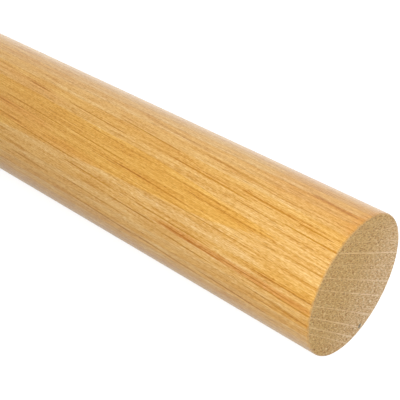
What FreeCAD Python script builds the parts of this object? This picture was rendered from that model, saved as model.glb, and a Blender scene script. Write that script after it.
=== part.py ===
import FreeCAD
import Part
import os

# Stair handrail length: one straight piece of round hardwood, sawn square at both ends.
# The rail lies along X on the plane Z = 0, and the origin is under the middle of its length.

# Driving dimensions, in millimetres
rail_diameter = 42.0  # round, graspable section that 42 mm brackets and end caps fit
rail_length = 1000.0  # one stock length, saw cut to saw cut
arris_radius = 0.4  # sanded edge between the round side and each saw cut

# Places that follow from the sizes
along_rail = FreeCAD.Vector(1, 0, 0)
section_centre = FreeCAD.Vector(-rail_length / 2, 0, rail_diameter / 2)


def rail_section():
    # The full round that the moulding cutter leaves, drawn at the left-hand saw cut
    outline = Part.makeCircle(rail_diameter / 2, section_centre, along_rail)
    return Part.Face(Part.Wire(outline))


def saw_cut_edges(bar):
    # The two full circles where the round side meets the saw cuts
    return [edge for edge in bar.Edges if edge.isClosed()]


def handrail():
    bar = rail_section().extrude(along_rail * rail_length)
    eased = bar.makeFillet(arris_radius, saw_cut_edges(bar))
    return eased.Solids[0]


os.makedirs("parts", exist_ok=True)
rail = handrail()
rail.exportStep("parts/handrail.step")
print("handrail:", rail.ShapeType, "valid" if rail.isValid() else "not valid")
print("volume in cubic millimetres:", round(rail.Volume, 1))
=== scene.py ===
import bpy
import bmesh
import math
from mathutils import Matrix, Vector, noise


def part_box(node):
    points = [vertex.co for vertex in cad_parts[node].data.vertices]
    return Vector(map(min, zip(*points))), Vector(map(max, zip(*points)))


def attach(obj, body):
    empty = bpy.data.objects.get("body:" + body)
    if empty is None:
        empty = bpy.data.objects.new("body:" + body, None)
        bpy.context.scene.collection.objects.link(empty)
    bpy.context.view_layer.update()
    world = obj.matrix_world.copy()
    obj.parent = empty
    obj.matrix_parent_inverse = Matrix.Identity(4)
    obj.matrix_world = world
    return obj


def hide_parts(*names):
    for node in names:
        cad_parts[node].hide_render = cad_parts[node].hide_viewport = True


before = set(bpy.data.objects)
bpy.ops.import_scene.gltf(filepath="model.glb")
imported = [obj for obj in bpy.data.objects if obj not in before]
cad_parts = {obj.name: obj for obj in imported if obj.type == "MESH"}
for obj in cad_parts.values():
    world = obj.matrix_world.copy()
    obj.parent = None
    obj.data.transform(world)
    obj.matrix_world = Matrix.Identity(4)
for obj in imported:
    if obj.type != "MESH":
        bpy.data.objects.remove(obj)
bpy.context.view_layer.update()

# The round bar, measured from its own node; the small sizes are in mm
oakRail = {
    "node": "handrail",
    "piece": "oak_handrail",
    "slot": "lacquered_oak",
    "sides": 360,  # steps round the bar
    "strips": 50,  # steps along the round side
    "edgeRows": (0.3, 0.7, 1.2, 1.9, 2.8),  # closer steps next to each saw cut
    "arris": 0.4,  # sanded edge at each saw cut
    "arrisSteps": 4,
    "faceRings": 30,  # rings on each sawn face
    "rimCrowding": 1.6,  # how much closer together they are at the rim
    "sawRelief": 0.04,  # depth of the saw's tracks
    "sawPitch": 1.3,
    "sawStroke": 9.0,  # length of one track
    "sawLean": (0.94, 0.34),  # the tracks lean a little
    "sawFade": 8,  # how late the tracks fade out towards the rim
    "edgeWear": 0.07,  # how far the sanded edge wanders
    "edgeWearPitch": 1.7,
    "edgeWearInwards": 0.6,  # share of that wear that also takes the saw cut back
    "leftSeed": 31.0,
    "rightSeed": 7.0,
}
lowCorner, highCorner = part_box(oakRail["node"])
railRadius = (highCorner[1] - lowCorner[1]) / 2
leftCut, rightCut = lowCorner[0], highCorner[0]
railAxis = Vector((0, (lowCorner[1] + highCorner[1]) / 2, (lowCorner[2] + highCorner[2]) / 2))
radiusMm = railRadius * 1000
lengthMm = (rightCut - leftCut) * 1000
print("frame loaded, rail radius", round(railRadius, 4), "length", round(rightCut - leftCut, 4))


def outwards(angle):
    # direction from the bar's middle to its side, as side and up
    turn = math.radians(angle)
    return -math.sin(turn), math.cos(turn)


# Bruise on the right-hand edge
nick = {
    "angle": 196.3,  # degrees from the top towards the front
    "inset": 1.9,  # from the round side to its middle, mm
    "reach": 1.0,  # half its size, mm
    "depth": 0.5,
    "colour": (0.26, 0.21, 0.145, 1),
    "fade": (0.55, 1.1),  # where its colour fades, as shares of the reach
    "ragged": 1.2,
}
nickSide, nickUp = [(radiusMm - nick["inset"]) * share for share in outwards(nick["angle"])]

# How the bar was cut from the tree, in mm and degrees round the bar
timber = {
    "heartAngle": 55,  # the side that faces the heart of the tree, from the top towards the front
    "heartDistance": 126,
    "ringAngle": 44.5,  # the side that the yearly rings lie flat to
    "twist": 0.0402,  # drift of the grain round the bar, per mm of length
    "rise": 0.0123,  # drift of the grain towards the heart, per mm of length
    "sway": 0.2,
    "swayLong": 55,
    "swayWide": 14,
    "ringWidth": 2.7,
    "ringUneven": 0.22,
    "tonguePlace": 8,  # a ring's pointed tip shows this far from the right-hand cut
    "quarterSawn": (18, 20.5),  # distance from the middle where the side starts to run along the rays
}


def acrossRays(angle, along):
    # offset across the rays of a point on the bar's side, in mm
    turn = math.radians(angle - timber["heartAngle"])
    offset = radiusMm * math.sin(turn) + along * timber["twist"]
    depth = timber["heartDistance"] - radiusMm * math.cos(turn)
    return math.atan2(offset, depth) * timber["heartDistance"]


# Helpers for node trees
def feed(tree, socket, value):
    if isinstance(value, bpy.types.NodeSocket):
        tree.links.new(value, socket)
    else:
        socket.default_value = value


def addNode(tree, kind, inputs=None, **settings):
    node = tree.nodes.new(kind)
    for name, value in settings.items():
        setattr(node, name, value)
    for name, value in (inputs or {}).items():
        feed(tree, node.inputs[name], value)
    return node


def sums(tree, operation, *values):
    node = addNode(tree, "ShaderNodeMath", operation=operation)
    for socket, value in zip(node.inputs, values):
        feed(tree, socket, value)
    return node.outputs[0]


def ramp(tree, value, start, end, low=0.0, high=1.0):
    # smooth step from low to high
    inputs = {"Value": value, "From Min": start, "From Max": end, "To Min": low, "To Max": high}
    return addNode(tree, "ShaderNodeMapRange", inputs, interpolation_type="SMOOTHSTEP").outputs[0]


def fade(tree, value, start, end):
    return ramp(tree, value, start, end, 1.0, 0.0)


def vector(tree, x, y, z):
    return addNode(tree, "ShaderNodeCombineXYZ", {"X": x, "Y": y, "Z": z}).outputs[0]


def stretched(tree, along, sideways, upwards, long, wide):
    # a place counted in a texture's own length and width
    return vector(tree, sums(tree, "DIVIDE", along, long), sums(tree, "DIVIDE", sideways, wide),
                  sums(tree, "DIVIDE", upwards, wide))


def inDirection(tree, place, direction):
    # how far a place lies in a direction across the bar
    upwards = sums(tree, "MULTIPLY", place[1], direction[1])
    return sums(tree, "MULTIPLY_ADD", place[0], direction[0], upwards)


def distance(tree, first, second):
    node = addNode(tree, "ShaderNodeVectorMath", {0: first, 1: second}, operation="DISTANCE")
    return node.outputs["Value"]


def clouds(tree, place, detail):
    return addNode(tree, "ShaderNodeTexNoise", {"Vector": place, "Scale": 1.0, "Detail": detail}).outputs


def cells(tree, place):
    # scattered spots, with a chance of its own for each
    inputs = {"Vector": place, "Scale": 1.0, "Randomness": 1.0}
    spot = addNode(tree, "ShaderNodeTexVoronoi", inputs).outputs
    return spot, addNode(tree, "ShaderNodeSeparateColor", {0: spot["Color"]}).outputs


def mixColours(tree, factor, first, second, blend="MIX"):
    node = addNode(tree, "ShaderNodeMix", data_type="RGBA", blend_type=blend)
    for socket, value in zip((node.inputs[0], node.inputs[6], node.inputs[7]), (factor, first, second)):
        feed(tree, socket, value)
    return node.outputs[2]


def newGroup(name, inputs, outputs):
    group = bpy.data.node_groups.new(name, "ShaderNodeTree")
    for label, value in inputs.items():
        kind = "NodeSocketVector" if label == "Place" else "NodeSocketFloat"
        socket = group.interface.new_socket(label, in_out="INPUT", socket_type=kind)
        if value is not None:
            socket.default_value = value
    for label in outputs:
        group.interface.new_socket(label, in_out="OUTPUT", socket_type="NodeSocketFloat")
    return group, addNode(group, "NodeGroupInput").outputs, addNode(group, "NodeGroupOutput").inputs


def useGroup(tree, group, inputs):
    return addNode(tree, "ShaderNodeGroup", inputs, node_tree=group).outputs


# Where a point lies in the tree, in mm: along the grain, out from the heart, across the rays
def makeGrainPlace():
    labels = ("Along", "Ring", "Depth", "Across", "Aside", "Sideways", "Upwards")
    group, given, out = newGroup("grainPlace", {"Place": None}, labels)
    split = addNode(group, "ShaderNodeSeparateXYZ", {0: given["Place"]}).outputs
    along = sums(group, "MULTIPLY", sums(group, "SUBTRACT", rightCut, split["X"]), 1000)
    side = sums(group, "MULTIPLY", sums(group, "SUBTRACT", split["Y"], railAxis.y), 1000)
    up = sums(group, "MULTIPLY", sums(group, "SUBTRACT", split["Z"], railAxis.z), 1000)

    # slow sway of the fibres
    slow = stretched(group, along, side, up, timber["swayLong"], timber["swayWide"])
    sway = addNode(group, "ShaderNodeSeparateColor", {0: clouds(group, slow, 1.0)["Color"]}).outputs
    toRing, toHeart = outwards(timber["ringAngle"]), outwards(timber["heartAngle"])
    around = (-toHeart[1], toHeart[0])
    risen, twisted = [], []
    for axis, place in enumerate((side, up)):
        wave = sums(group, "MULTIPLY", sums(group, "SUBTRACT", sway[axis], 0.5), 2 * timber["sway"])
        swayed = sums(group, "ADD", place, wave)
        rise = timber["rise"] * toRing[axis]
        risen.append(sums(group, "MULTIPLY_ADD", along, rise, swayed))
        twisted.append(sums(group, "MULTIPLY_ADD", along, rise + timber["twist"] * around[axis], swayed))

    # rings lie round the heart, rays point at it
    heart = [timber["heartDistance"] * share for share in toRing]
    ring = distance(group, vector(group, *risen, 0.0), (*heart, 0.0))
    depth = sums(group, "SUBTRACT", timber["heartDistance"], inDirection(group, twisted, toHeart))
    bearing = sums(group, "ARCTAN2", inDirection(group, twisted, around), depth)
    across = sums(group, "MULTIPLY", bearing, timber["heartDistance"])
    aside = inDirection(group, (side, up), around)
    for label, value in zip(labels, (along, ring, depth, across, aside, *twisted)):
        feed(group, out[label], value)
    return group


# One year's growth, as shares of its width: pale at its start, deep at its end
growth = {
    "lateRise": (0.05, 0.8),
    "lateEnd": (0.965, 1.0),
    "beltRise": (0.0, 0.03),  # belt of open pores at the start
    "beltEnd": (0.08, 0.35),
    "spell": 1.9,  # pace of the runs of good and lean years
    "leanYears": 0.2,  # how much paler a lean year is
    "wander": ((90, 9, 2.0), (14, 0.5, 0.6)),  # slow wander and a feathered edge: length, width, share
}


def makeGrowthRings():
    given = {"Along": 0.0, "Ring": 0.0, "Sideways": 0.0, "Upwards": 0.0, "Ring Width": 2.7, "Uneven": 0.3}
    group, given, out = newGroup("growthRings", given, ("Tone", "Belt"))
    body = [given[label] for label in ("Along", "Sideways", "Upwards")]
    shift = 0.0
    for long, wide, share in growth["wander"]:
        slow = clouds(group, stretched(group, *body, long, wide), 2.0)["Fac"]
        wander = sums(group, "SUBTRACT", slow, 0.5)
        shift = sums(group, "MULTIPLY_ADD", wander, sums(group, "MULTIPLY", given["Uneven"], share), shift)
    firstRing = timber["heartDistance"] - radiusMm - timber["rise"] * timber["tonguePlace"]
    outside = sums(group, "ADD", sums(group, "SUBTRACT", given["Ring"], firstRing), shift)
    year = sums(group, "DIVIDE", outside, given["Ring Width"])
    season = sums(group, "FRACT", year)
    count = sums(group, "FLOOR", year)
    spell = sums(group, "COSINE", sums(group, "MULTIPLY_ADD", count, growth["spell"], growth["spell"]))
    vigour = sums(group, "MULTIPLY_ADD", spell, growth["leanYears"], 1 - growth["leanYears"])
    late, belt = [
        sums(group, "MULTIPLY", ramp(group, season, *growth[rise]), fade(group, season, *growth[end]))
        for rise, end in (("lateRise", "lateEnd"), ("beltRise", "beltEnd"))]
    feed(group, out["Tone"], sums(group, "MULTIPLY", late, vigour))
    feed(group, out["Belt"], belt)
    return group


# Broad rays: thin upright sheets that lie along the grain and point at the heart
raySheet = {
    "apart": (45, 22, 2.7),  # mean distance along the grain, out from the heart and across, mm
    "softEdge": (0.1, 1.0),
    "chance": (0.1, 0.9),
    "faintest": 0.25,
}


def makeRaySheets():
    given = {"Along": 0.0, "Depth": 0.0, "Across": 0.0, "Long": 16.0, "Deep": 9.0, "Thick": 0.2}
    group, given, out = newGroup("raySheets", given, ("Mask",))
    apart = raySheet["apart"]
    ways = zip(("Along", "Depth", "Across"), apart)
    places = [sums(group, "DIVIDE", given[label], size) for label, size in ways]
    spot, chance = cells(group, vector(group, *places))
    middle = addNode(group, "ShaderNodeSeparateXYZ", {0: spot["Position"]}).outputs
    total = 0.0
    for place, centre, size, label in zip(places, middle, apart, ("Long", "Deep", "Thick")):
        away = sums(group, "MULTIPLY", sums(group, "SUBTRACT", place, centre), size)
        away = sums(group, "DIVIDE", away, given[label])
        total = sums(group, "MULTIPLY_ADD", away, away, total)
    power = ramp(group, chance[0], *raySheet["chance"], raySheet["faintest"], 1.0)
    feed(group, out["Mask"], sums(group, "MULTIPLY", fade(group, total, *raySheet["softEdge"]), power))
    return group


# One lens-shaped mark along the grain, at a given place
def makeGrainMark():
    given = {"Along": 0.0, "Across": 0.0, "Start": 0.0, "End": 20.0, "At": 0.0}
    given |= {"Thick": 0.2, "Strength": 1.0}
    group, given, out = newGroup("grainMark", given, ("Mask",))
    middle = sums(group, "MULTIPLY", sums(group, "ADD", given["Start"], given["End"]), 0.5)
    half = sums(group, "MULTIPLY", sums(group, "SUBTRACT", given["End"], given["Start"]), 0.5)
    far = sums(group, "DIVIDE", sums(group, "SUBTRACT", given["Along"], middle), half)
    wide = sums(group, "DIVIDE", sums(group, "SUBTRACT", given["Across"], given["At"]), given["Thick"])
    longWays = sums(group, "POWER", sums(group, "ABSOLUTE", far), 4)  # blunt at both tips
    total = sums(group, "MULTIPLY_ADD", wide, wide, longWays)
    shape = fade(group, total, *raySheet["softEdge"])
    feed(group, out["Mask"], sums(group, "MULTIPLY", shape, given["Strength"]))
    return group


# Marks that show round the right-hand end: angle, start and end along the grain in mm, strength;
# a darker mark and a paler patch give half their width in mm before the strength
handMarks = {
    "rays": (
        (4, -14, 2, 0.4), (11.5, -14, 2, 0.4), (22.7, -14, 2, 0.6), (41, -14, 1.5, 0.7),
        (-1.5, 0, 18, 0.75), (3.2, 6, 28, 0.3), (5.2, 24, 38, 0.55), (12, 22, 54, 0.8),
        (4.7, 50, 82, 0.6), (20.3, 55, 84, 1.0), (24.8, 12, 36, 1.05), (26.2, 2, 15, 1.0),
        (29, 26, 62, 1.25), (28.8, 54, 74, 0.3), (30.2, 74, 104, 0.9), (30.2, 110, 123, 1.0),
        (32, -14, 22, 1.1), (33.7, 15, 34, 0.7), (40.2, 55, 92, 0.65), (42.5, 30, 62, 0.65),
        (46.4, 16, 52, 0.65), (50.8, -14, 15, 0.8), (50.2, 68, 98, 1.1), (51.4, 95, 128, 1.4),
        (55, 45, 77, 1.0), (56.3, 70, 86, 0.7), (59.8, -12, 16, 0.8), (59.6, 20, 64, 0.85),
        (60.2, 80, 112, 0.5), (67.5, 114, 132, 1.5), (70.3, 86, 120, 1.4), (71.8, -12, 22, 0.95),
        (74.3, 32, 66, 1.1), (75, 68, 95, 1.15), (78.5, 38, 54, 1.1), (79.5, 29, 44, 1.5),
        (78.2, 2, 33, 0.8), (81.2, -12, 26, 1.1), (82, 52, 74, 1.25), (86.3, 30, 52, 1.05),
        (88, 2, 26, 0.8), (89.8, -12, 14, 1.8), (90.6, 62, 97, 0.8), (96.2, -12, 4, 0.9),
        (101.5, 12, 40, 1.25), (105, 36, 64, 1.3), (104.2, 60, 92, 1.4), (94.5, 98, 118, 0.95),
        (87.4, 92, 126, 0.65),
    ),
    "darkMarks": (
        (78, -8, 58, 1.3, 0.8), (79.4, 24, 56, 0.5, 1.0), (4, -8, 4, 5.0, 0.6), (2, -12, 34, 4.0, 0.3),
        # the three below darken the side further from the right-hand cut
        (66, 76, 140, 2.6, 0.35), (58.7, 98, 150, 2.0, 0.55), (32.7, 100, 150, 2.0, 0.35),
    ),
    "patches": (
        (82, 2, 130, 7.5, 0.38), (66.5, 14, 70, 2.2, 0.55), (75, 36, 68, 1.6, 0.5), (85, 34, 74, 2.0, 0.35),
        (5, -12, 140, 6.0, 0.16),
    ),
}


def makePlacedMarks():
    given = {"Along": 0.0, "Across": 0.0, "Ray Thick": 0.3}
    group, given, out = newGroup("placedMarks", given, ("Rays", "Dark Marks", "Patches"))
    drift = math.degrees(timber["twist"] / radiusMm)  # degrees round the bar per mm
    rayThick = given["Ray Thick"]
    marks = [("Rays", *ray[:3], rayThick, ray[3]) for ray in handMarks["rays"]]
    marks += [("Dark Marks", *darkMark) for darkMark in handMarks["darkMarks"]]
    marks += [("Patches", *patch) for patch in handMarks["patches"]]
    found = {"Rays": 0.0, "Dark Marks": 0.0, "Patches": 0.0}
    for kind, angle, start, end, thick, power in marks:
        middle = max(0, (start + end) / 2)
        mark = useGroup(group, grainMark, {
            "Along": given["Along"], "Across": given["Across"], "Start": start, "End": end,
            "At": acrossRays(angle - drift * middle, middle), "Thick": thick, "Strength": power})
        found[kind] = sums(group, "MAXIMUM", mark["Mask"], found[kind])
    for kind, value in found.items():
        feed(group, out[kind], value)
    return group


# Vessels: fine tubes along the grain, cut as dashes on the side and as dots on a sawn end
vessel = {
    "size": 0.14,  # smallest, as a share of the spacing
    "uneven": 0.14,
    "springSize": 0.16,  # larger in the belt at the start of a year
    "softEdge": (0.6, 1.2),
    "chance": (0.2, 0.6),
}


def makeVessels():
    given = {"Along": 0.0, "Sideways": 0.0, "Upwards": 0.0, "Belt": 0.0, "Spacing": 0.6, "Long": 9.0}
    group, given, out = newGroup("vessels", given, ("Mask",))
    body = [given[label] for label in ("Along", "Sideways", "Upwards")]
    spot, chance = cells(group, stretched(group, *body, given["Long"], given["Spacing"]))
    size = sums(group, "MULTIPLY_ADD", chance[0], vessel["uneven"], vessel["size"])
    size = sums(group, "MULTIPLY_ADD", given["Belt"], vessel["springSize"], size)
    shape = fade(group, sums(group, "DIVIDE", spot["Distance"], size), *vessel["softEdge"])
    feed(group, out["Mask"], sums(group, "MULTIPLY", shape, ramp(group, chance[1], *vessel["chance"])))
    return group


# Fibre: specks, fine streaks and broader bands of tone along the grain, around a middle of 0
fibreTones = {"Speck": (0.05, 1.0), "Fine": (1.0, 2.0), "Broad": (4.0, 3.0)}  # share of the length, detail


def makeFibre():
    given = {"Along": 0.0, "Sideways": 0.0, "Upwards": 0.0, "Long": 10.0}
    given |= {"Speck": 0.12, "Fine": 0.25, "Broad": 1.6}
    group, given, out = newGroup("fibre", given, [label + " Tone" for label in fibreTones])
    body = [given[label] for label in ("Along", "Sideways", "Upwards")]
    for label, (share, detail) in fibreTones.items():
        long = sums(group, "MULTIPLY", given["Long"], share)
        place = stretched(group, *body, long, given[label])
        feed(group, out[label + " Tone"], sums(group, "SUBTRACT", clouds(group, place, detail)["Fac"], 0.5))
    return group


# Darker line along both sanded edges, and the bruise
darkEdgeLine = {
    "fade": (0.2, 0.55),  # distance from the edge, mm
    "ragged": 0.8,
}


def makeEdgeMarks():
    given = {"Place": None, "Along": 0.0, "Ragged": 0.0}
    group, given, out = newGroup("edgeMarks", given, ("Dark Edge", "Bruise"))
    split = addNode(group, "ShaderNodeSeparateXYZ", {0: given["Place"]}).outputs
    centre = vector(group, split["X"], railAxis.y, railAxis.z)
    fromAxis = sums(group, "MULTIPLY", distance(group, given["Place"], centre), 1000)
    fromSide = sums(group, "SUBTRACT", radiusMm, fromAxis)
    fromCut = sums(group, "MINIMUM", given["Along"], sums(group, "SUBTRACT", lengthMm, given["Along"]))
    fromEdge = sums(group, "MAXIMUM", fromCut, fromSide)
    fromEdge = sums(group, "MULTIPLY_ADD", given["Ragged"], darkEdgeLine["ragged"], fromEdge)
    feed(group, out["Dark Edge"], fade(group, fromEdge, *darkEdgeLine["fade"]))
    spot = (rightCut, railAxis.y + nickSide / 1000, railAxis.z + nickUp / 1000)
    away = sums(group, "MULTIPLY", distance(group, given["Place"], spot), 1000)
    away = sums(group, "MULTIPLY_ADD", given["Ragged"], nick["ragged"], away)
    feed(group, out["Bruise"], fade(group, away, *[nick["reach"] * share for share in nick["fade"]]))
    return group


grainPlace = makeGrainPlace()
growthRings = makeGrowthRings()
raySheets = makeRaySheets()
grainMark = makeGrainMark()
placedMarks = makePlacedMarks()
vessels = makeVessels()
fibre = makeFibre()
edgeMarks = makeEdgeMarks()
print("grain groups made:", len(bpy.data.node_groups))


def readGrain(tree, rayThick):
    # every place value that the two finishes share, from the piece's own coordinates
    place = addNode(tree, "ShaderNodeTexCoord").outputs["Object"]
    grain = useGroup(tree, grainPlace, {"Place": place})
    sheet = {label: grain[label] for label in ("Along", "Depth", "Across")}
    body = {label: grain[label] for label in ("Along", "Sideways", "Upwards")}
    rings = useGroup(tree, growthRings, {
        **body, "Ring": grain["Ring"], "Ring Width": timber["ringWidth"], "Uneven": timber["ringUneven"]})
    marks = useGroup(tree, placedMarks, {
        "Along": grain["Along"], "Across": grain["Across"], "Ray Thick": rayThick})
    return place, grain, sheet, body, rings, marks


def newMaterial(name):
    material = bpy.data.materials.new(name)
    material.use_nodes = True
    return material, material.node_tree, material.node_tree.nodes["Principled BSDF"]


# Clear lacquer over the moulded round; lengths in mm
lacquer = {
    "pale": (0.879, 0.494, 0.131, 1),
    "deep": (0.869, 0.447, 0.075, 1),
    "patch": (0.89, 0.54, 0.19, 1),
    "rayThick": 0.26,
    "rayLine": (0.72, 0.52, 0.10, 1),  # what a ray end leaves of the colour
    "rayFleck": (0.90, 0.60, 0.22, 1),  # a ray that the cutter laid open
    "fleckPower": 0.6,
    "looseRays": {"Long": 15.0, "Deep": 9.0, "Thick": 0.3},
    "looseStart": (115, 150, 0.2, 0.9),  # few among the listed rays, more beyond them
    "pore": (0.74, 0.62, 0.42, 1),
    "porePower": 0.6,
    "vessels": {"Spacing": 0.5, "Long": 5.0},
    # what a darker mark leaves of the colour
    "darkMark": (0.90, 0.70, 0.48, 1),
    # darker colour along the sanded edges
    "darkEdge": (0.54, 0.315, 0.12, 1),
    "darkEdgePower": 0.6,
    "streaks": {"Long": 22.0, "Fine": 0.28, "Broad": 1.3},
    "specks": 1.6,
    "fineStreaks": 1.3,
    "broadStreaks": 0.7,
    "redPower": 0.5,  # a darker tone is also a redder one
    "bluePower": 2.3,
    "roughness": 0.42,
    "roughStreaks": 0.12,
    "roughPores": 0.15,
    "reliefStreaks": 0.4,
    "relief": {"Strength": 0.12, "Distance": 0.00006},
    "specular": 0.1,
    "coat": 1.0,
    "coatIor": 1.40,
    "coatRoughness": 0.27,
}


def makeLacqueredOak():
    material, tree, shader = newMaterial("lacqueredOak")
    place, grain, sheet, body, rings, marks = readGrain(tree, lacquer["rayThick"])
    streaks = useGroup(tree, fibre, {**body, **lacquer["streaks"]})
    pores = useGroup(tree, vessels, {**body, "Belt": rings["Belt"], **lacquer["vessels"]})["Mask"]
    loose = useGroup(tree, raySheets, {**sheet, **lacquer["looseRays"]})["Mask"]
    loose = sums(tree, "MULTIPLY", loose, ramp(tree, sheet["Along"], *lacquer["looseStart"]))
    rays = sums(tree, "MINIMUM", sums(tree, "MAXIMUM", marks["Rays"], loose), 1.0)
    quarter = ramp(tree, sums(tree, "ABSOLUTE", grain["Aside"]), *timber["quarterSawn"])
    edge = useGroup(tree, edgeMarks, {
        "Place": place, "Along": grain["Along"], "Ragged": streaks["Broad Tone"]})

    colour = mixColours(tree, rings["Tone"], lacquer["pale"], lacquer["deep"])
    colour = mixColours(tree, marks["Patches"], colour, lacquer["patch"])
    tone = sums(tree, "MULTIPLY_ADD", streaks["Broad Tone"], lacquer["broadStreaks"], 1.0)
    tone = sums(tree, "MULTIPLY_ADD", streaks["Fine Tone"], lacquer["fineStreaks"], tone)
    tone = sums(tree, "MULTIPLY_ADD", streaks["Speck Tone"], lacquer["specks"], tone)
    red, blue = [sums(tree, "POWER", tone, lacquer[label]) for label in ("redPower", "bluePower")]
    colour = mixColours(tree, 1.0, colour, vector(tree, red, tone, blue), "MULTIPLY")
    poreShare = sums(tree, "MULTIPLY", pores, lacquer["porePower"])
    colour = mixColours(tree, poreShare, colour, lacquer["pore"], "MULTIPLY")
    # darker marks along the grain
    colour = mixColours(tree, marks["Dark Marks"], colour, lacquer["darkMark"], "MULTIPLY")
    lines = mixColours(tree, rays, colour, lacquer["rayLine"], "MULTIPLY")
    fleckShare = sums(tree, "MULTIPLY", rays, lacquer["fleckPower"])
    flecks = mixColours(tree, fleckShare, colour, lacquer["rayFleck"])
    colour = mixColours(tree, quarter, lines, flecks)
    darkEdgeShare = sums(tree, "MULTIPLY", edge["Dark Edge"], lacquer["darkEdgePower"])
    colour = mixColours(tree, darkEdgeShare, colour, lacquer["darkEdge"])
    colour = mixColours(tree, edge["Bruise"], colour, nick["colour"])
    feed(tree, shader.inputs["Base Color"], colour)

    rough = sums(tree, "MULTIPLY_ADD", streaks["Broad Tone"], lacquer["roughStreaks"], lacquer["roughness"])
    feed(tree, shader.inputs["Roughness"], sums(tree, "MULTIPLY_ADD", pores, lacquer["roughPores"], rough))
    raised = sums(tree, "MULTIPLY", streaks["Fine Tone"], lacquer["reliefStreaks"])
    height = sums(tree, "SUBTRACT", raised, sums(tree, "ADD", pores, rays))
    bump = addNode(tree, "ShaderNodeBump", {"Height": height, **lacquer["relief"]})
    feed(tree, shader.inputs["Normal"], bump.outputs[0])
    shader.inputs["Specular IOR Level"].default_value = lacquer["specular"]
    shader.inputs["Coat Weight"].default_value = lacquer["coat"]
    shader.inputs["Coat IOR"].default_value = lacquer["coatIor"]
    shader.inputs["Coat Roughness"].default_value = lacquer["coatRoughness"]
    return material


# Bare end grain at a saw cut; lengths in mm
sawnFace = {
    "heartWood": (0.625, 0.38, 0.128, 1),
    # paler, greyer colour of the face away from the heart: a painted sheen of light on its lower back side
    "paintedSheen": (0.786, 0.535, 0.28, 1),
    "paintedSheenStart": (116, 150),  # distance from the heart over which the face turns paler and greyer: a painted sheen
    "lateWood": (0.90, 0.887, 0.84, 1),  # what the end of a year leaves of the colour
    "rayThick": 0.23,
    "ray": (1.24, 1.40, 1.85, 1),  # how much paler a ray is
    "rayBreaks": (-0.15, 0.12, 0.4, 1.0),  # rays come and go in bands
    "raySmooth": -0.12,
    "looseRays": {"Long": 24.0, "Deep": 11.0, "Thick": 0.25},
    "loosePower": 0.5,
    "pore": (0.38, 0.31, 0.24, 1),
    "porePower": 0.9,
    "vessels": {"Spacing": 0.62, "Long": 8.0},
    # darker colour along the sanded edges
    "darkEdge": (0.52, 0.36, 0.19, 1),
    "darkEdgePower": 0.35,
    "streaks": {"Long": 4.0, "Fine": 0.18, "Broad": 1.6},  # specks drawn out along the rays
    "streakStretch": 0.12,
    "rows": {"Long": 4.0, "Fine": 0.26, "Broad": 1.8},  # specks drawn out along the rings
    "rowStretch": 0.3,
    "fineStreaks": 3.1,
    "rowStreaks": 2.6,
    "broadStreaks": 0.35,
    "redPower": 0.55,
    "bluePower": 1.75,
    "roughness": 0.62,
    "reliefStreaks": 1.2,
    "relief": {"Strength": 0.4, "Distance": 0.00012},
    "specular": 0.5,
}


def makeSawnEndGrain():
    material, tree, shader = newMaterial("sawnEndGrain")
    place, grain, sheet, body, rings, marks = readGrain(tree, sawnFace["rayThick"])
    alongRays = sums(tree, "MULTIPLY", grain["Depth"], sawnFace["streakStretch"])
    alongRings = sums(tree, "MULTIPLY", grain["Across"], sawnFace["rowStretch"])
    streaks = useGroup(tree, fibre, {
        "Along": grain["Along"], "Sideways": grain["Across"], "Upwards": alongRays, **sawnFace["streaks"]})
    rows = useGroup(tree, fibre, {
        "Along": grain["Along"], "Sideways": grain["Depth"], "Upwards": alongRings, **sawnFace["rows"]})
    pores = useGroup(tree, vessels, {**body, "Belt": rings["Belt"], **sawnFace["vessels"]})["Mask"]
    loose = useGroup(tree, raySheets, {**sheet, **sawnFace["looseRays"]})["Mask"]
    loose = sums(tree, "MULTIPLY", loose, sawnFace["loosePower"])
    rays = sums(tree, "MINIMUM", sums(tree, "MAXIMUM", marks["Rays"], loose), 1.0)
    edge = useGroup(tree, edgeMarks, {
        "Place": place, "Along": grain["Along"], "Ragged": streaks["Broad Tone"]})

    # painted sheen: the face turns paler and greyer away from the heart, towards its lower back side
    paintedSheenShare = ramp(tree, grain["Depth"], *sawnFace["paintedSheenStart"])
    wood = mixColours(tree, paintedSheenShare, sawnFace["heartWood"], sawnFace["paintedSheen"])
    colour = mixColours(tree, rings["Tone"], wood, sawnFace["lateWood"], "MULTIPLY")
    tone = sums(tree, "MULTIPLY_ADD", streaks["Broad Tone"], sawnFace["broadStreaks"], 1.0)
    tone = sums(tree, "MULTIPLY_ADD", streaks["Fine Tone"], sawnFace["fineStreaks"], tone)
    tone = sums(tree, "MULTIPLY_ADD", rows["Fine Tone"], sawnFace["rowStreaks"], tone)
    red, blue = [sums(tree, "POWER", tone, sawnFace[label]) for label in ("redPower", "bluePower")]
    colour = mixColours(tree, 1.0, colour, vector(tree, red, tone, blue), "MULTIPLY")
    poreShare = sums(tree, "MULTIPLY", pores, sawnFace["porePower"])
    colour = mixColours(tree, poreShare, colour, sawnFace["pore"], "MULTIPLY")
    broken = ramp(tree, rows["Broad Tone"], *sawnFace["rayBreaks"])
    pale = mixColours(tree, 1.0, wood, sawnFace["ray"], "MULTIPLY")
    colour = mixColours(tree, sums(tree, "MULTIPLY", rays, broken), colour, pale)
    darkEdgeShare = sums(tree, "MULTIPLY", edge["Dark Edge"], sawnFace["darkEdgePower"])
    colour = mixColours(tree, darkEdgeShare, colour, sawnFace["darkEdge"])
    colour = mixColours(tree, edge["Bruise"], colour, nick["colour"])
    feed(tree, shader.inputs["Base Color"], colour)

    rough = sums(tree, "MULTIPLY_ADD", rays, sawnFace["raySmooth"], sawnFace["roughness"])
    feed(tree, shader.inputs["Roughness"], rough)
    raised = sums(tree, "MULTIPLY", streaks["Fine Tone"], sawnFace["reliefStreaks"])
    height = sums(tree, "SUBTRACT", raised, pores)
    bump = addNode(tree, "ShaderNodeBump", {"Height": height, **sawnFace["relief"]})
    feed(tree, shader.inputs["Normal"], bump.outputs[0])
    shader.inputs["Specular IOR Level"].default_value = sawnFace["specular"]
    return material


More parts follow.
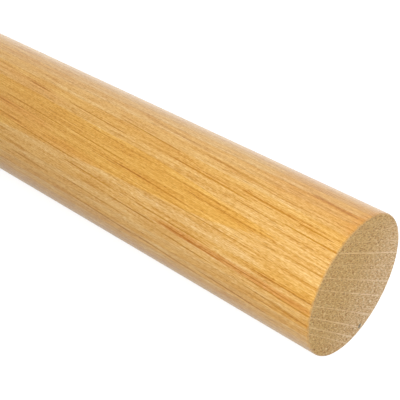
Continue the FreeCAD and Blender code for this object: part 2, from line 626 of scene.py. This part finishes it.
# The bar's outline from the middle of the left-hand face to the middle of the right-hand one, in mm
def railProfile():
    arris, steps, faceRings = oakRail["arris"], oakRail["arrisSteps"], oakRail["faceRings"]
    flat = radiusMm - arris
    half = []  # distance from the saw cut, radius, part of the bar
    for step in range(1, faceRings + 1):
        half.append((0.0, flat * (1 - (1 - step / faceRings) ** oakRail["rimCrowding"]), "face"))
    for step in range(1, steps + 1):
        turn = math.pi / 2 * step / steps
        half.append((arris * (1 - math.cos(turn)), flat + arris * math.sin(turn), "arris"))
    half += [(arris + row, radiusMm, "side") for row in oakRail["edgeRows"]]
    start = half[-1][0]
    strip = (lengthMm - 2 * start) / oakRail["strips"]
    middle = [(start + strip * step, radiusMm, "side") for step in range(1, oakRail["strips"])]
    return half + middle + [(lengthMm - along, radius, part) for along, radius, part in reversed(half)]


def railPoint(along, radius, part, turn):
    # along runs from the left-hand cut, turn from the top towards the front; wear only takes wood away
    fromCut = min(along, lengthMm - along)
    atRight = along > lengthMm / 2
    seed = oakRail["rightSeed"] if atRight else oakRail["leftSeed"]
    y, z = -radius * math.sin(turn), radius * math.cos(turn)
    inwards, shrink = 0.0, 0.0
    if part == "face":
        lean, tilt = oakRail["sawLean"]
        track, stroke = y * lean + z * tilt, z * lean - y * tilt
        wave = noise.noise(Vector((track / oakRail["sawPitch"], stroke / oakRail["sawStroke"], seed)))
        inner = 1 - (radius / radiusMm) ** oakRail["sawFade"]
        inwards = oakRail["sawRelief"] * (0.5 + 0.5 * wave) * inner
    if part == "arris":
        pitch = oakRail["edgeWearPitch"]
        wander = noise.noise(Vector((y / pitch, z / pitch, seed)))
        shrink = oakRail["edgeWear"] * (0.5 + 0.5 * wander)
        inwards = shrink * oakRail["edgeWearInwards"]
    if atRight:
        near = 1 - math.dist((fromCut, y, z), (0.0, nickSide, nickUp)) / nick["reach"]
        if near > 0:
            dent = nick["depth"] * near * near * (3 - 2 * near)
            inwards, shrink = inwards + dent, shrink + dent
    along += -inwards if atRight else inwards
    y, z = y * (radius - shrink) / radius, z * (radius - shrink) / radius
    return Vector((leftCut + along / 1000, railAxis.y + y / 1000, railAxis.z + z / 1000))


# Places in the bake's square: one strip for the round side and a disc for each sawn face
bakeLayout = {
    "margin": 0.005,
    "stripLong": 0.99,
    "stripWide": 0.71,
    "leftDisc": (0.16, 0.86),
    "rightDisc": (0.5, 0.86),
    "discRadius": 0.135,
}


def onDisc(along, reach, turn):
    centre = bakeLayout["leftDisc"] if along < lengthMm / 2 else bakeLayout["rightDisc"]
    disc = bakeLayout["discRadius"] * reach
    return centre[0] + disc * math.cos(turn), centre[1] + disc * math.sin(turn)


def onStrip(along, step):
    margin = bakeLayout["margin"]
    far, wide = along / lengthMm, step / oakRail["sides"]
    return margin + bakeLayout["stripLong"] * far, margin + bakeLayout["stripWide"] * wide


def discReaches(profile, edgeRow):
    # how far out on its disc each row of the outline lies, by its own length
    reach, reaches = 0.0, []
    for row in range(edgeRow + 1):
        before = profile[row - 1] if row else (0.0, 0.0, "face")
        reach += math.dist(profile[row][:2], before[:2])
        reaches.append(reach)
    reaches = [value / reach for value in reaches]
    return reaches + [1.0] * (len(profile) - 2 * len(reaches)) + reaches[::-1]


def makeRail(materials):
    mesh = bpy.data.meshes.new(oakRail["piece"])
    shape = bmesh.new()
    bakeMap = shape.loops.layers.uv.new("OFBake")
    profile = railProfile()
    sides, last = oakRail["sides"], len(profile) - 1
    edgeRow = oakRail["faceRings"] + oakRail["arrisSteps"] - 1  # where the sanded edge meets the side
    reaches = discReaches(profile, edgeRow)
    turns = [math.tau * side / sides for side in range(sides + 1)]
    rings = [[shape.verts.new(railPoint(*row, turn)) for turn in turns[:sides]] for row in profile]
    hubs = [shape.verts.new((cut, railAxis.y, railAxis.z)) for cut in (leftCut, rightCut)]
    for side in range(sides):
        for row in range(last):
            corners = ((row, side), (row, side + 1), (row + 1, side + 1), (row + 1, side))
            face = shape.faces.new([rings[place][step % sides] for place, step in corners])
            sawn = "face" in (profile[row][2], profile[row + 1][2])
            face.material_index = 1 if sawn else 0
            face.smooth = True
            for loop, (place, step) in zip(face.loops, corners):
                along = profile[place][0]
                if edgeRow <= row < last - edgeRow:
                    loop[bakeMap].uv = onStrip(along, step)
                else:
                    loop[bakeMap].uv = onDisc(along, reaches[place], turns[step])
        for hub, row, steps in ((hubs[0], 0, (side + 1, side)), (hubs[1], last, (side, side + 1))):
            face = shape.faces.new([hub] + [rings[row][step % sides] for step in steps])
            face.material_index = 1
            face.smooth = True
            along = profile[row][0]
            places = [onDisc(along, reaches[row], turns[step]) for step in steps]
            for loop, place in zip(face.loops, [onDisc(along, 0.0, 0.0)] + places):
                loop[bakeMap].uv = place
    shape.normal_update()
    shape.to_mesh(mesh)
    shape.free()
    rail = bpy.data.objects.new(oakRail["piece"], mesh)
    bpy.context.collection.objects.link(rail)
    for material in materials:
        mesh.materials.append(material)
    return rail


rail = makeRail((makeLacqueredOak(), makeSawnEndGrain()))
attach(rail, "root")
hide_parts(oakRail["node"])
print("rail made:", len(rail.data.polygons), "faces")

# Plain white studio
studio = {
    "floorSize": 6.0,
    "floorColour": (0.38, 0.38, 0.38, 1),
    "floorRoughness": 0.9,
    "floorWhite": 0.86,  # plain white that the camera sees under the lit floor, which keeps the shadow
    "paintedShadowGloss": 0.5,  # what the lacquer mirrors of it in front of and under the rail, held dim as a painted shadow of the rail
    "clearFloorGloss": 0.9,  # and behind it, clear of that painted shadow
    "paintedShadowFade": (0.02, 0.12),  # metres behind the rail's middle over which the painted shadow fades
    "ambient": 0.275,
}
# Softboxes: point on the rail, direction and distance from it, size along the rail and across, power
softboxes = {
    "keySoftbox": {
        "lights": 0.5, "towards": (0.45, -0.63, 0.63), "far": 0.32, "size": (0.22, 0.22), "power": 0.84},
    "midSoftbox": {
        "lights": 0.03, "towards": (0.0, -0.70, 0.71), "far": 0.25, "size": (0.3, 0.15), "power": 0.1},
    "farSoftbox": {
        "lights": -0.38, "towards": (0.0, -0.70, 0.71), "far": 0.38, "size": (0.4, 0.25), "power": 0.64},
    "lowSoftbox": {
        "lights": 0.5, "towards": (0.80, 0.55, 0.10), "far": 0.13, "size": (0.08, 0.08), "power": 0.033},
    "endSoftbox": {
        "lights": -0.5, "towards": (-0.80, 0.10, 0.60), "far": 0.5, "size": (0.3, 0.3), "power": 1.2},
    "backSoftbox": {
        "lights": -0.05, "towards": (0.0, 0.75, 0.66), "far": 0.9, "size": (1.0, 0.4), "power": 3.0},
}


def makeFloor():
    half = studio["floorSize"] / 2
    corners = [(-half, -half, 0), (half, -half, 0), (half, half, 0), (-half, half, 0)]
    mesh = bpy.data.meshes.new("studio_floor")
    mesh.from_pydata(corners, [], [(0, 1, 2, 3)])
    floor = bpy.data.objects.new("studio_floor", mesh)
    bpy.context.collection.objects.link(floor)
    material, tree, shader = newMaterial("paleFloor")
    shader.inputs["Base Color"].default_value = studio["floorColour"]
    shader.inputs["Roughness"].default_value = studio["floorRoughness"]
    shader.inputs["Specular IOR Level"].default_value = 0.0
    path = addNode(tree, "ShaderNodeLightPath").outputs
    place = addNode(tree, "ShaderNodeTexCoord").outputs["Object"]
    behind = addNode(tree, "ShaderNodeSeparateXYZ", {0: place}).outputs["Y"]
    # the floor that the lacquer mirrors is dimmer in front of the rail: a painted shadow
    gloss = ramp(tree, behind, *studio["paintedShadowFade"], studio["paintedShadowGloss"], studio["clearFloorGloss"])
    mirrored = sums(tree, "MULTIPLY", path["Is Glossy Ray"], gloss)
    share = sums(tree, "MULTIPLY_ADD", path["Is Camera Ray"], studio["floorWhite"], mirrored)
    white = addNode(tree, "ShaderNodeEmission", {"Strength": share})
    both = addNode(tree, "ShaderNodeAddShader", {0: shader.outputs[0], 1: white.outputs[0]})
    feed(tree, tree.nodes["Material Output"].inputs["Surface"], both.outputs[0])
    mesh.materials.append(material)


def makeSky():
    world = bpy.data.worlds.new("studioWhite")
    bpy.context.scene.world = world
    world.use_nodes = True
    tree = world.node_tree
    sky = tree.nodes["Background"]
    sky.inputs["Color"].default_value = (1, 1, 1, 1)
    path = addNode(tree, "ShaderNodeLightPath").outputs
    seen = sums(tree, "MAXIMUM", path["Is Camera Ray"], path["Is Glossy Ray"])
    ambient = studio["ambient"]
    feed(tree, sky.inputs["Strength"], sums(tree, "MULTIPLY_ADD", seen, 1 - ambient, ambient))


def makeSoftbox(name, box):
    lamp = bpy.data.lights.new(name, "AREA")
    lamp.shape = "RECTANGLE"
    lamp.size, lamp.size_y = box["size"]
    lamp.energy = box["power"]
    holder = bpy.data.objects.new(name, lamp)
    towards = Vector(box["towards"]).normalized()
    holder.location = Vector((box["lights"], railAxis.y, railAxis.z)) + towards * box["far"]
    holder.rotation_euler = (-towards).to_track_quat("-Z", "Y").to_euler()
    holder.visible_glossy = False  # the lacquer shows the white room only
    bpy.context.collection.objects.link(holder)


makeFloor()
makeSky()
for name, box in softboxes.items():
    makeSoftbox(name, box)
print("studio lit")

# The camera stands off the right-hand end and looks back along the rail
view = {
    "lens": 82.0,
    "sensor": 36.0,
    "nearest": 0.01,
    "fromEnd": (0.0905, -0.1631, 0.1595),
    "towards": (-0.5399, 0.6046, -0.5856),
}
camera = bpy.data.objects.new("stillCamera", bpy.data.cameras.new("stillCamera"))
camera.data.lens = view["lens"]
camera.data.sensor_width = view["sensor"]
camera.data.clip_start = view["nearest"]
camera.location = Vector((rightCut, railAxis.y, railAxis.z)) + Vector(view["fromEnd"])
camera.rotation_euler = Vector(view["towards"]).to_track_quat("-Z", "Y").to_euler()
bpy.context.collection.objects.link(camera)
bpy.context.scene.camera = camera
bpy.context.scene.view_settings.view_transform = "Standard"
print("camera placed")
